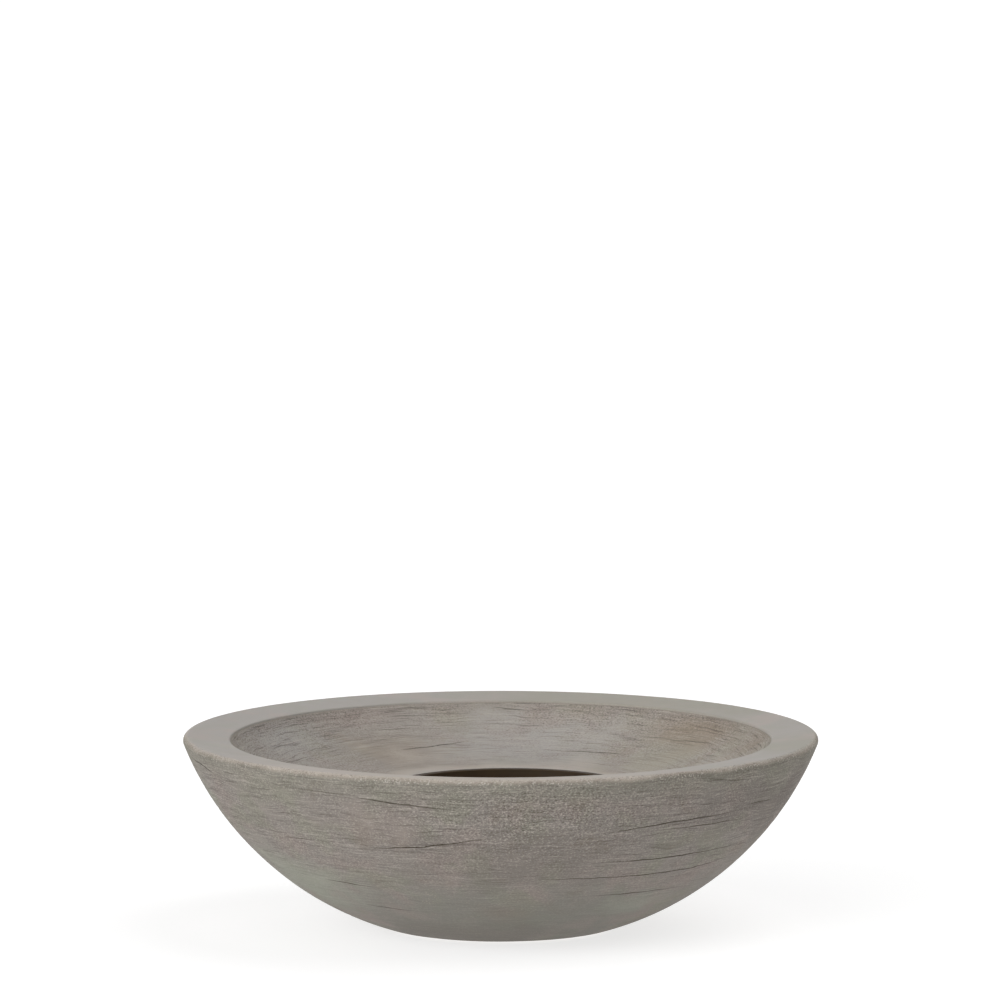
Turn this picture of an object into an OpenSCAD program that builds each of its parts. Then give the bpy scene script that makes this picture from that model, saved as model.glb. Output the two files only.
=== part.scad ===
// Concrete bowl planter: a shallow round bowl cast in fibre concrete.
// The outer bowl carries a flat rim. A second casting, a shallow dish, is bonded
// in just below the rim, and a plastic liner hangs in the dish's opening.
// Millimetres. +Z is up and the origin is on the ground under the bowl's centre.

/* [Outer bowl] */
// Diameter at the widest point, just under the rim
bowl_d = 500; // [440:5:560]
// Height from the ground to the outer edge of the rim
bowl_h = 152; // [140:1:180]
// Radius of the arc that the side wall follows
belly_r = 246; // [235:1:300]
// Diameter of the flat underside
base_d = 176; // [150:1:210]
// Rounding between the underside and the side wall
base_round = 15; // [5:1:25]
// Thickness of the cast side wall
wall_t = 11; // [8:0.5:14]
// Thickness of the cast floor
floor_t = 12; // [10:0.5:16]
// Rounding inside, between the floor and the side wall
floor_round = 14; // [6:1:20]

/* [Rim] */
// Width of the rim's top face
rim_w = 37; // [30:1:45]
// Fall of the rim's top face towards the dish
rim_fall = 3; // [0:0.5:4]
// Rounding of the rim's outer edge
rim_round = 4; // [3:0.5:8]
// Rounding of the rim's inner edge
lip_round = 1.5; // [1:0.5:6]
// Width of the hidden ledge that the dish rests on
ledge_w = 12; // [10:0.5:16]
// Thickness of that ledge
ledge_t = 12; // [9:0.5:15]

/* [Dish] */
// Depth from the outer edge of the rim to the landing round the opening
dish_depth = 41; // [34:1:48]
// Thickness of the cast dish
dish_t = 10; // [9:0.5:12]
// Drop of the dish's edge below the rounding of the rim
dish_step = 0.5; // [0.25:0.25:2]
// Depth of the dish's edge, from its top to the face that rests on the ledge
dish_edge_t = 17.5; // [15:0.5:19]
// Diameter of the planting opening
opening_d = 192; // [160:1:205]
// Distance that the opening sits off the bowl's centre
opening_shift = 7; // [0:0.5:8]
// Width of the flat landing round the opening
landing_w = 16; // [12:1:22]

/* [Bond] */
// Thickness of the mortar bed under the dish's edge
bed_t = 2; // [1:0.5:3]
// Width of the mortar joint round the dish's edge
joint_w = 1; // [0.75:0.25:2.5]
// Depth of the joint's surface below the dish's edge
joint_recess = 0.5; // [0.25:0.25:1.5]

/* [Liner] */
// Thickness of the liner's wall
liner_wall = 2.5; // [2:0.25:3.5]
// Thickness of the liner's floor
liner_floor = 3; // [2:0.25:4]
// Thickness of the flange that hangs in the rebate
flange_t = 3; // [2:0.5:4]
// Width of the rebate that the flange rests in
rebate_w = 4.5; // [3:0.5:6]
// Gap between the liner and the dish, all round
liner_gap = 0.4; // [0.3:0.05:0.8]
// Slope of the liner's wall, in degrees
liner_taper = 12; // [6:1:14]
// Height of the liner above the floor of the bowl
liner_lift = 21; // [20:1:28]
// Diameter of the drain holes in the liner
drain_hole_d = 10; // [6:1:12]
// Number of drain holes round the middle one
drain_holes = 6; // [4:1:8]
// Distance of those holes from the edge of the liner's floor
drain_inset = 28; // [20:1:32]
// Width of each grip lug inside the liner
grip_w = 30; // [20:1:40]
// Reach of each grip lug from the wall
grip_reach = 8; // [6:0.5:12]
// Thickness of each grip lug
grip_t = 4; // [3:0.5:6]
// Depth of the grip lugs below the flange
grip_drop = 6; // [4:1:12]

/* [Drain] */
// Bore of the sleeve in the floor
drain_bore = 20; // [16:1:24]
// Thickness of the sleeve's wall
sleeve_wall = 3; // [2:0.5:4]
// Reach of the sleeve's flange beyond its wall
sleeve_flange_w = 7; // [5:0.5:9]
// Thickness of the sleeve's flange
sleeve_flange_t = 2.5; // [2:0.5:3.5]
// Gap between the plug and the bore, all round
plug_gap = 0.15; // [0.1:0.05:0.3]
// Length of the plug below its head
plug_shank = 9; // [6:0.5:9.5]
// Reach of the plug's head over the sleeve's flange
plug_head_w = 5; // [3:0.5:6]
// Thickness of the plug's head
plug_head_t = 4; // [3:0.5:4]
// Height of the pinch rib on the plug's head
pinch_h = 4; // [3:0.5:4]
// Thickness of the pinch rib
pinch_t = 5; // [3:0.5:7]
// Distance from the edge of the head to the rib's ends
pinch_inset = 2; // [1:0.5:4]

/* [Foot] */
// Width of the ring that the bowl stands on
foot_w = 28; // [26:1:32]
// Depth of the hollow inside that ring
foot_hollow = 4; // [2:0.5:4]
// Diameter of each pad
pad_d = 18; // [12:1:20]
// Thickness of each pad
pad_t = 3; // [2:0.5:4]
// Height of each pad below the foot ring
pad_proud = 1; // [0.5:0.25:1.5]

/* [Hidden] */
$fn = 120;
// Angle between the points of a long and of a short arc in an outline
large_step = 2.5;
small_step = 15;

concrete = "#8f8980";
dish_grey = "#96908a";
mortar = "#6f6a62";
liner_brown = "#312a20";
sleeve_grey = "#55534f";
plug_black = "#262523";
pad_grey = "#3a3937";

// Heights
base_z = pad_proud;
hollow_z = base_z + foot_hollow;
floor_z = hollow_z + floor_t;
lip_z = bowl_h - rim_fall;
edge_z = lip_z - lip_round - dish_step;
seat_z = edge_z - dish_edge_t;
ledge_z = seat_z - bed_t;
landing_z = bowl_h - dish_depth;
rebate_z = landing_z - flange_t;
liner_z = floor_z + liner_lift;

// Radii
bowl_r = bowl_d / 2;
base_r = base_d / 2;
rim_in_r = bowl_r - rim_w;
ledge_in_r = rim_in_r - ledge_w;
dish_r = rim_in_r - joint_w;
opening_r = opening_d / 2;
landing_r = opening_r + opening_shift + landing_w;
hole_r = opening_r - rebate_w;
liner_top_r = hole_r - liner_gap;
liner_base_r = liner_top_r - (rebate_z - liner_z) * tan(liner_taper);
sleeve_r = drain_bore / 2 + sleeve_wall;
pad_ring_r = base_r - foot_w / 2;

// Centre of a circle that lies ra from a and rb from b, to the left of the way from a to b
function arc_centre(a, b, ra, rb) =
    let (l = norm(b - a), u = (b - a) / l,
         along = (ra * ra - rb * rb + l * l) / (2 * l),
         aside = sqrt(ra * ra - along * along))
    a + along * u + aside * [-u.y, u.x];

// Direction from a to b, in degrees
function heading(a, b) = atan2(b.y - a.y, b.x - a.x);

// Points along the arc of radius r round c, from one heading to the other
function arc(c, r, from, to, step) =
    let (n = max(2, ceil(abs(to - from) / step)))
    [for (i = [0:n]) let (a = from + (to - from) * i / n) c + r * [cos(a), sin(a)]];

// Where the line from p towards d leaves the circle of radius r round c
function leaves_circle(p, d, c, r) =
    let (u = d / norm(d), f = p - c, b = f * u)
    p + (sqrt(b * b - f * f + r * r) - b) * u;

// The side wall: one arc that runs into the rounding of the base and of the rim
base_round_c = [base_r, base_z + base_round];
rim_round_c = [bowl_r - rim_round, bowl_h - rim_round];
belly_c = arc_centre(base_round_c, rim_round_c, belly_r - base_round, belly_r - rim_round);
base_a = heading(belly_c, base_round_c);
rim_a = heading(belly_c, rim_round_c);

// The inside of the wall: the same centre, less the wall's thickness
inner_r = belly_r - wall_t;
floor_round_z = floor_z + floor_round;
floor_round_c = [belly_c.x + sqrt(pow(inner_r - floor_round, 2) - pow(floor_round_z - belly_c.y, 2)),
                 floor_round_z];
floor_a = heading(belly_c, floor_round_c);
ledge_foot = [ledge_in_r, ledge_z - ledge_t];
ledge_root = leaves_circle(ledge_foot, [1, -1], belly_c, inner_r);

// The dish: one arc that leaves the landing level and climbs to the edge
dish_run = dish_r - landing_r;
dish_rise = edge_z - landing_z;
dish_arc_r = (dish_run * dish_run + dish_rise * dish_rise) / (2 * dish_rise);
dish_arc_c = [landing_r, landing_z + dish_arc_r];
dish_edge_a = heading(dish_arc_c, [dish_r, edge_z]);
dish_under_r = dish_arc_r + dish_t;
rabbet_r = ledge_in_r - joint_w;
rabbet_a = -acos((rabbet_r - landing_r) / dish_under_r);

module bowl_section() {
    flange_r = sleeve_r + sleeve_flange_w;
    flange_z = floor_z - sleeve_flange_t;
    lip_c = [rim_in_r + lip_round, lip_z - lip_round];
    polygon(concat(
        // underside
        [[sleeve_r, hollow_z], [base_r - foot_w, hollow_z], [base_r - foot_w, base_z]],
        arc(base_round_c, base_round, -90, base_a, small_step),
        // side wall and rim
        arc(belly_c, belly_r, base_a, rim_a, large_step),
        arc(rim_round_c, rim_round, rim_a, 90, small_step),
        arc(lip_c, lip_round, 90, 180, small_step),
        // ledge
        [[rim_in_r, ledge_z], [ledge_in_r, ledge_z], ledge_foot],
        // cavity
        arc(belly_c, inner_r, heading(belly_c, ledge_root), floor_a, large_step),
        arc(floor_round_c, floor_round, floor_a, -90, small_step),
        [[flange_r, floor_z], [flange_r, flange_z], [sleeve_r, flange_z]]));
}

module dish_section() {
    polygon(concat(
        [[0, landing_z], [0, landing_z - dish_t]],
        arc(dish_arc_c, dish_under_r, -90, rabbet_a, large_step),
        [[rabbet_r, seat_z], [dish_r, seat_z]],
        arc(dish_arc_c, dish_arc_r, dish_edge_a, -90, large_step)));
}

// Radius of the liner's outer face at height z
function liner_r(z) = liner_top_r - (rebate_z - z) * tan(liner_taper);

module liner_section() {
    inside_z = liner_z + liner_floor;
    polygon([
        [0, liner_z], [liner_base_r, liner_z], [liner_top_r, rebate_z],
        [opening_r - liner_gap, rebate_z], [opening_r - liner_gap, landing_z],
        [liner_top_r - liner_wall, landing_z], [liner_top_r - liner_wall, rebate_z],
        [liner_r(inside_z) - liner_wall, inside_z], [0, inside_z]]);
}

module grip_section() {
    low = rebate_z - grip_drop - grip_t;
    high = rebate_z - grip_drop;
    reach_r = liner_r(low) - liner_wall - grip_reach;
    polygon([
        [reach_r, low], [liner_r(low) - liner_wall / 2, low],
        [liner_r(high) - liner_wall / 2, high], [reach_r, high]]);
}

module foot_position(i) {
    rotate(120 * i) translate([pad_ring_r, 0, 0]) children();
}

module outer_bowl() {
    color(concrete) difference() {
        rotate_extrude() bowl_section();
        // seats of the pads
        for (i = [0:2]) foot_position(i) cylinder(h = pad_t, r = pad_d / 2);
    }
}

module inner_dish() {
    color(dish_grey) difference() {
        rotate_extrude() dish_section();
        // opening, with the rebate that the liner hangs in
        translate([opening_shift, 0, 0]) {
            translate([0, 0, rebate_z]) cylinder(h = dish_depth, r = opening_r);
            cylinder(h = bowl_h, r = hole_r);
        }
    }
}

module dish_bond() {
    color(mortar) rotate_extrude() polygon([
        [ledge_in_r, ledge_z], [rim_in_r, ledge_z], [rim_in_r, edge_z - joint_recess],
        [dish_r, edge_z - joint_recess], [dish_r, seat_z], [ledge_in_r, seat_z]]);
}

module liner_pot() {
    color(liner_brown) translate([opening_shift, 0, 0]) difference() {
        union() {
            rotate_extrude() liner_section();
            // grip lugs on the two sides
            intersection() {
                rotate_extrude() grip_section();
                translate([-bowl_r, -grip_w / 2, 0]) cube([bowl_d, grip_w, bowl_h]);
            }
        }
        // drain holes
        cylinder(h = liner_z + liner_floor + 1, r = drain_hole_d / 2);
        for (i = [0:drain_holes - 1])
            rotate(360 / drain_holes * i) translate([liner_base_r - drain_inset, 0, 0])
                cylinder(h = liner_z + liner_floor + 1, r = drain_hole_d / 2);
    }
}

module drain_sleeve() {
    bore_r = drain_bore / 2;
    flange_r = sleeve_r + sleeve_flange_w;
    flange_z = floor_z - sleeve_flange_t;
    color(sleeve_grey) rotate_extrude() polygon([
        [bore_r, hollow_z], [sleeve_r, hollow_z], [sleeve_r, flange_z],
        [flange_r, flange_z], [flange_r, floor_z], [bore_r, floor_z]]);
}

module drain_plug() {
    shank_r = drain_bore / 2 - plug_gap;
    head_r = drain_bore / 2 + plug_head_w;
    head_z = floor_z + plug_head_t;
    color(plug_black) {
        rotate_extrude() polygon([
            [0, floor_z - plug_shank], [shank_r, floor_z - plug_shank], [shank_r, floor_z],
            [head_r, floor_z], [head_r, head_z], [0, head_z]]);
        // pinch rib, rounded at both ends
        intersection() {
            translate([0, 0, floor_z]) cylinder(h = plug_head_t + pinch_h, r = head_r - pinch_inset);
            translate([-head_r, -pinch_t / 2, floor_z]) cube([2 * head_r, pinch_t, plug_head_t + pinch_h]);
        }
    }
}

module foot_pad(i) {
    color(pad_grey) foot_position(i - 1) cylinder(h = pad_t, r = pad_d / 2);
}

outer_bowl();
inner_dish();
dish_bond();
liner_pot();
drain_sleeve();
drain_plug();
foot_pad(1);  // foot_pad_1
foot_pad(2);  // foot_pad_2
foot_pad(3);  // foot_pad_3
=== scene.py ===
import math
import random
from functools import partial

import bmesh
import bpy
from mathutils import Matrix, Vector


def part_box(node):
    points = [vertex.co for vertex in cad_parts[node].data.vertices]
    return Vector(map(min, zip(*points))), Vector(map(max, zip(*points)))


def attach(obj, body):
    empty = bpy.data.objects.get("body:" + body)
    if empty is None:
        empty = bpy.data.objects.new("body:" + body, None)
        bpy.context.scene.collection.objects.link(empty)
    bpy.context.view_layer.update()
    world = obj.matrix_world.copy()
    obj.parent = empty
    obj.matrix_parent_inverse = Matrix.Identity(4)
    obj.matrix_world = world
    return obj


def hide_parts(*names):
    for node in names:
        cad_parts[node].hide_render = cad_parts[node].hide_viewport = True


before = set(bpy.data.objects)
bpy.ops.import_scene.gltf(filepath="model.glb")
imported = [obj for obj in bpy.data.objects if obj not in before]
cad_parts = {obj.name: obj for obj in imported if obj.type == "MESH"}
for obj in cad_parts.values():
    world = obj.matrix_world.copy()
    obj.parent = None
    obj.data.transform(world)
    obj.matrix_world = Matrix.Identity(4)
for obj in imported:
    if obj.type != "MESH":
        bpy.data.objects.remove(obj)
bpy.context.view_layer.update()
mm = 0.001  # sizes below are in millimetres, and Blender works in metres


def linear(hexColour):
    parts = [int(hexColour[i:i + 2], 16) / 255 for i in (1, 3, 5)]
    return [c / 12.92 if c < 0.04045 else ((c + 0.055) / 1.055) ** 2.4 for c in parts] + [1]


def addNode(tree, kind, inputs=None, **settings):
    # makes one node, sets or links its inputs by name or number, and gives its first output
    node = tree.nodes.new(kind)
    for name, value in settings.items():
        setattr(node, name, value)
    for name, value in (inputs or {}).items():
        named = [s for s in node.inputs if s.enabled and s.name == name]
        socket = named[0] if named else node.inputs[name]
        if isinstance(value, bpy.types.NodeSocket):
            tree.links.new(value, socket)
        else:
            socket.default_value = value
    return next((s for s in node.outputs if s.enabled), None)


eased = {"interpolation_type": "SMOOTHSTEP"}  # for a map range that starts and ends softly


def addObject(name, data):
    piece = bpy.data.objects.new(name, data)
    bpy.context.scene.collection.objects.link(piece)
    return piece


def boxOf(node):
    low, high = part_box(node)
    return Vector(low) / mm, Vector(high) / mm


bowlLow, bowlHigh = boxOf("outer_bowl")
dishLow, dishHigh = boxOf("inner_dish")
bondLow = boxOf("dish_bond")[0]
linerLow, linerHigh = boxOf("liner_pot")
sleeveLow, sleeveHigh = boxOf("drain_sleeve")
plugLow, plugHigh = boxOf("drain_plug")
print("stage: frame loaded")

# camera: a long lens 8.3 m away, looking down at the bowl by 8.7 degrees
cameraSetup = {
    "distance": 8333, "elevation": 8.68, "aimHeight": 76.5,
    "pixelsPerMm": 1.268,  # at the aim point, inside the bowl
    "aimPixel": (500.8, 828.8),  # where the aim point lies in the picture
    "pictureSize": 1000, "sensor": 36, "clipEnd": 100,
}


def makeCamera(c):
    focal = c["pixelsPerMm"] * c["distance"]  # in pixels
    data = bpy.data.cameras.new("camera")
    data.sensor_width = c["sensor"]
    data.lens = focal / c["pictureSize"] * c["sensor"]
    data.clip_end = c["clipEnd"]
    camera = addObject("camera", data)
    tilt = math.radians(c["elevation"])
    camera.location = Vector((0, -math.cos(tilt) * c["distance"],
                              c["aimHeight"] + math.sin(tilt) * c["distance"])) * mm
    up = math.atan((c["aimPixel"][1] - c["pictureSize"] / 2) / focal)
    aside = math.atan((c["aimPixel"][0] - c["pictureSize"] / 2) / focal)
    camera.rotation_euler = (math.pi / 2 - tilt + up, 0, aside)
    bpy.context.scene.camera = camera


makeCamera(cameraSetup)
print("stage: camera set")


# outlines: points of (radius, height, finish, shift) round a closed section
# finish runs from 0, trowelled smooth, to 1, cast with grain
# shift is the share of the planting opening's offset that a ring takes
# a stretch is the distance between its points, and the finish at its start and at its end


def arcPoints(centre, radius, start, end, pitch, finish, shift=0):
    count = max(3, math.ceil(abs(math.radians(end - start)) * radius / pitch))
    points = []
    for i in range(count + 1):
        t = i / count
        a = math.radians(start + (end - start) * t)
        points.append((centre[0] + radius * math.cos(a), centre[1] + radius * math.sin(a),
                       finish[0] + (finish[1] - finish[0]) * t, shift))
    return points


def linePoints(a, b, pitch, finish, shift=(0, 0)):
    count = max(1, math.ceil(math.dist(a, b) / pitch))
    start, end = (*a, finish[0], shift[0]), (*b, finish[1], shift[1])
    return [tuple(p + (q - p) * i / count for p, q in zip(start, end)) for i in range(count + 1)]


def circleBetween(a, b, fromA, fromB):
    # the centre that lies fromA from a and fromB from b, to the left of the way from a to b
    span = math.dist(a, b)
    ux, uy = (b[0] - a[0]) / span, (b[1] - a[1]) / span
    along = (fromA ** 2 - fromB ** 2 + span ** 2) / (2 * span)
    aside = math.sqrt(fromA ** 2 - along ** 2)
    return (a[0] + along * ux - aside * uy, a[1] + along * uy + aside * ux)


def heading(a, b):
    return math.degrees(math.atan2(b[1] - a[1], b[0] - a[0]))


paleEdge = 0.62  # the finish at which the trowelled face begins
bowl = {
    "radius": round(bowlHigh.x), "top": bowlHigh.z, "base": bowlLow.z,
    "bellyRadius": 246, "baseRadius": 88, "baseRound": 15, "wall": 11,
    "rimWidth": 37, "rimFall": 3, "rimRound": 4, "lipRound": 1.5, "rimWear": 7, "lipWear": 5,
    "paleFrom": 52,  # degrees up the rounding of the rim, where the trowelled face starts
    "ledgeTop": bondLow.z, "ledgeWidth": 12, "ledgeThick": 12,
    "floorTop": sleeveHigh.z, "floorRound": 14,
    "footWidth": 28, "footEdge": 1.2, "hollowTop": sleeveLow.z,
    "boreRadius": 13, "flangeSeat": 20, "flangeDepth": 2.5,
    "stretches": {
        "hollow": (9, (0, 0.5)), "footEdge": (0.5, (0.5, 0.5)), "foot": (2.5, (0.5, 0.5)),
        "base": (1.5, (0.5, 1)), "wall": (1.5, (1, 1)), "rimSide": (0.7, (1, paleEdge)),
        "rimEdge": (0.5, (paleEdge, 0.3)), "rimOuter": (1.5, (0.3, 0.1)), "rimTop": (1.9, (0.1, 0.1)),
        "rimInner": (1.5, (0.1, 0.2)), "lip": (0.6, (0.2, 0.3)), "hidden": (9, (0, 0)),
        "floorRound": (3, (0, 0)),
    },
    "segments": 384,
}


def bowlOutline(b):
    rimIn = b["radius"] - b["rimWidth"]
    ledgeIn = rimIn - b["ledgeWidth"]
    lipTop = b["top"] - b["rimFall"]
    footIn = b["baseRadius"] - b["footWidth"]
    baseRoundAt = (b["baseRadius"], b["base"] + b["baseRound"])
    rimRoundAt = (b["radius"] - b["rimRound"], b["top"] - b["rimRound"])
    lipRoundAt = (rimIn + b["lipRound"], lipTop - b["lipRound"])
    belly = circleBetween(baseRoundAt, rimRoundAt, b["bellyRadius"] - b["baseRound"],
                          b["bellyRadius"] - b["rimRound"])
    inside = b["bellyRadius"] - b["wall"]
    floorRoundZ = b["floorTop"] + b["floorRound"]
    floorRoundAt = (belly[0] + math.sqrt((inside - b["floorRound"]) ** 2 - (floorRoundZ - belly[1]) ** 2),
                    floorRoundZ)
    baseAngle, rimAngle = heading(belly, baseRoundAt), heading(belly, rimRoundAt)
    floorAngle = heading(belly, floorRoundAt)
    # the ledge's underside runs out at 45 degrees to the inside of the wall
    ledgeFoot = (ledgeIn, b["ledgeTop"] - b["ledgeThick"])
    fx, fy = ledgeFoot[0] - belly[0], ledgeFoot[1] - belly[1]
    back = (fx - fy) / math.sqrt(2)
    reach = (math.sqrt(back ** 2 - fx ** 2 - fy ** 2 + inside ** 2) - back) / math.sqrt(2)
    rootAngle = heading(belly, (ledgeFoot[0] + reach, ledgeFoot[1] - reach))
    along, edge = b["stretches"], b["footEdge"]
    hidden = along["hidden"]
    seat = b["floorTop"] - b["flangeDepth"]
    points = linePoints((b["boreRadius"], b["hollowTop"]), (footIn, b["hollowTop"]), *along["hollow"])
    points += arcPoints((footIn + edge, b["base"] + edge), edge, 180, 270, *along["footEdge"])
    points += linePoints((footIn + edge, b["base"]), (b["baseRadius"], b["base"]), *along["foot"])
    points += arcPoints(baseRoundAt, b["baseRound"], -90, baseAngle, *along["base"])
    points += arcPoints(belly, b["bellyRadius"], baseAngle, rimAngle, *along["wall"])
    points += arcPoints(rimRoundAt, b["rimRound"], rimAngle, b["paleFrom"], *along["rimSide"])
    points += arcPoints(rimRoundAt, b["rimRound"], b["paleFrom"], 90, *along["rimEdge"])
    slope = b["rimFall"] / (rimRoundAt[0] - lipRoundAt[0])
    worn = (rimRoundAt[0] - b["rimWear"], b["top"] - b["rimWear"] * slope)
    wornLip = (lipRoundAt[0] + b["lipWear"], lipTop + b["lipWear"] * slope)
    points += linePoints((rimRoundAt[0], b["top"]), worn, *along["rimOuter"])
    points += linePoints(worn, wornLip, *along["rimTop"])
    points += linePoints(wornLip, (lipRoundAt[0], lipTop), *along["rimInner"])
    points += arcPoints(lipRoundAt, b["lipRound"], 90, 180, *along["lip"])
    points += linePoints((rimIn, lipRoundAt[1]), (rimIn, b["ledgeTop"]), *hidden)
    points += linePoints((rimIn, b["ledgeTop"]), (ledgeIn, b["ledgeTop"]), *hidden)
    points += linePoints((ledgeIn, b["ledgeTop"]), ledgeFoot, *hidden)
    points += arcPoints(belly, inside, rootAngle, floorAngle, *hidden)
    points += arcPoints(floorRoundAt, b["floorRound"], floorAngle, -90, *along["floorRound"])
    points += linePoints((floorRoundAt[0], b["floorTop"]), (b["flangeSeat"], b["floorTop"]), *hidden)
    points += linePoints((b["flangeSeat"], seat), (b["boreRadius"], seat), *hidden)
    return points, belly


bedThick = 2  # the mortar under the dish's edge
dish = {
    "radius": round(dishHigh.x), "edgeTop": dishHigh.z, "under": dishLow.z, "thick": 10,
    "opening": 96, "rebateWidth": 4.5, "rebateDepth": 3, "shift": 7, "landing": 16, "edgeRound": 0.8,
    "seatTop": bondLow.z + bedThick, "seatRadius": 200,
    "stretches": {"edge": (0.3, (0.5, 0.2)), "face": (1.2, (1, 0.8)), "landing": (1.5, (0.8, 0.5)),
                  "hidden": (9, (0, 0))},
    "segments": 384,
}


def dishOutline(d):
    landingZ = d["under"] + d["thick"]
    landingRadius = d["opening"] + d["shift"] + d["landing"]
    holeRadius = d["opening"] - d["rebateWidth"]
    rebateZ = landingZ - d["rebateDepth"]
    run, rise = d["radius"] - landingRadius, d["edgeTop"] - landingZ
    arcRadius = (run ** 2 + rise ** 2) / (2 * rise)
    arcAt = (landingRadius, landingZ + arcRadius)
    edgeAngle = heading(arcAt, (d["radius"], d["edgeTop"]))
    seatAngle = -math.degrees(math.acos((d["seatRadius"] - landingRadius) / (arcRadius + d["thick"])))
    along, edge = d["stretches"], d["edgeRound"]
    hidden = along["hidden"]
    points = arcPoints((d["opening"] + edge, landingZ - edge), edge, 90, 180, *along["edge"], 1)
    points += linePoints((d["opening"], rebateZ), (holeRadius, rebateZ), *hidden, (1, 1))
    points += linePoints((holeRadius, rebateZ), (holeRadius, d["under"]), *hidden, (1, 1))
    points += linePoints((holeRadius, d["under"]), (landingRadius, d["under"]), *hidden, (1, 0))
    points += arcPoints(arcAt, arcRadius + d["thick"], -90, seatAngle, *hidden)
    points += linePoints((d["seatRadius"], d["seatTop"]), (d["radius"], d["seatTop"]), *hidden)
    points += linePoints((d["radius"], d["seatTop"]), (d["radius"], d["edgeTop"] - edge), *hidden)
    points += arcPoints(arcAt, arcRadius, edgeAngle, -90, *along["face"])
    points += linePoints((landingRadius, landingZ), (d["opening"] + edge, landingZ),
                         *along["landing"], (0, 1))
    return points, arcAt, arcRadius


stepsPerRadian = 5  # along a rounded corner


def roundedOutline(corners):
    # corners are (radius, height, rounding); a rounded corner becomes an arc
    points = []
    for i, (r, z, rounding) in enumerate(corners):
        corner = Vector((r, z))
        if not rounding:
            points.append((r, z, 0, 0))
            continue
        before = (Vector(corners[i - 1][:2]) - corner).normalized()
        after = (Vector(corners[(i + 1) % len(corners)][:2]) - corner).normalized()
        half = before.angle(after) / 2
        centre = corner + (before + after).normalized() * (rounding / math.sin(half))
        start = corner + before * (rounding / math.tan(half)) - centre
        end = corner + after * (rounding / math.tan(half)) - centre
        swing = start.angle_signed(end)  # clockwise is positive
        steps = max(3, round(abs(swing) * stepsPerRadian))
        a = math.atan2(start.y, start.x)
        for k in range(steps + 1):
            b = a - swing * k / steps
            points.append((centre.x + rounding * math.cos(b), centre.y + rounding * math.sin(b), 0, 0))
    return points


def profileMesh(name, points, pivot):
    # the loop of edges that the lathe turns round the Z axis; it stays open where it meets the axis,
    # and leaves out points that stand on the one before
    kept = [p for i, p in enumerate(points) if math.dist(p[:2], points[i - 1][:2]) > 0.01]
    kept.reverse()  # so that the faces point outwards
    onAxis = kept[0][0] == 0 and kept[-1][0] == 0
    mesh = bpy.data.meshes.new(name)
    mesh.from_pydata([((r - pivot) * mm, -z * mm, 0) for r, z, *_ in kept],
                     [(i, (i + 1) % len(kept)) for i in range(len(kept) - onAxis)], [])
    along = [0]
    for a, b in zip(kept, kept[1:]):
        along.append(along[-1] + math.dist(a[:2], b[:2]))
    for attribute, values in (("along", along), ("finish", [p[2] for p in kept]),
                              ("shift", [p[3] for p in kept])):
        mesh.attributes.new(attribute, "FLOAT", "POINT").data.foreach_set("value", values)
    return mesh


def makeTree(name, sizes):
    # an empty Geometry Nodes tree with a named input for each size, and what adds a node to it
    tree = bpy.data.node_groups.new(name, "GeometryNodeTree")
    tree.interface.new_socket("Geometry", in_out="INPUT", socket_type="NodeSocketGeometry")
    for size, kind in sizes.items():
        tree.interface.new_socket(size, in_out="INPUT", socket_type="NodeSocket" + kind)
    tree.interface.new_socket("Geometry", in_out="OUTPUT", socket_type="NodeSocketGeometry")
    return tree, partial(addNode, tree), tree.nodes.new("NodeGroupInput").outputs


def endTree(add, geometry, material):
    real = add("GeometryNodeRealizeInstances", {"Geometry": geometry})
    finished = add("GeometryNodeSetMaterial", {"Geometry": real, "Material": material})
    add("NodeGroupOutput", {"Geometry": finished})


def applyTree(piece, tree, values):
    modifier = piece.modifiers.new(tree.name, "NODES")
    modifier.node_group = tree
    for socket in tree.interface.items_tree:
        if socket.in_out == "INPUT" and socket.name in values:
            modifier[socket.identifier] = values[socket.name]


def makeLathe():
    # turns a closed outline round the Z axis
    tree, add, given = makeTree("lathe", {
        "Segments": "Int", "Pivot": "Float", "Shift": "Float", "Material": "Material"})
    outline = add("GeometryNodeMeshToCurve", {"Mesh": given["Geometry"]})
    ring = add("GeometryNodeCurvePrimitiveCircle", {
        "Resolution": given["Segments"], "Radius": given["Pivot"]})
    upright = add("GeometryNodeSetCurveNormal", {"Curve": ring}, mode="Z_UP")
    swept = add("GeometryNodeCurveToMesh", {"Curve": upright, "Profile Curve": outline})
    closed = add("GeometryNodeMergeByDistance", {"Geometry": swept, "Distance": 0.001 * mm})
    share = add("GeometryNodeInputNamedAttribute", {"Name": "shift"}, data_type="FLOAT")
    aside = add("ShaderNodeMath", {0: share, 1: given["Shift"]}, operation="MULTIPLY")
    offset = add("ShaderNodeCombineXYZ", {"X": aside})
    placed = add("GeometryNodeSetPosition", {"Geometry": closed, "Offset": offset})
    endTree(add, placed, given["Material"])
    return tree


lathe = makeLathe()
pivot = 1  # radius of the ring that the outlines are swept along

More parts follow.
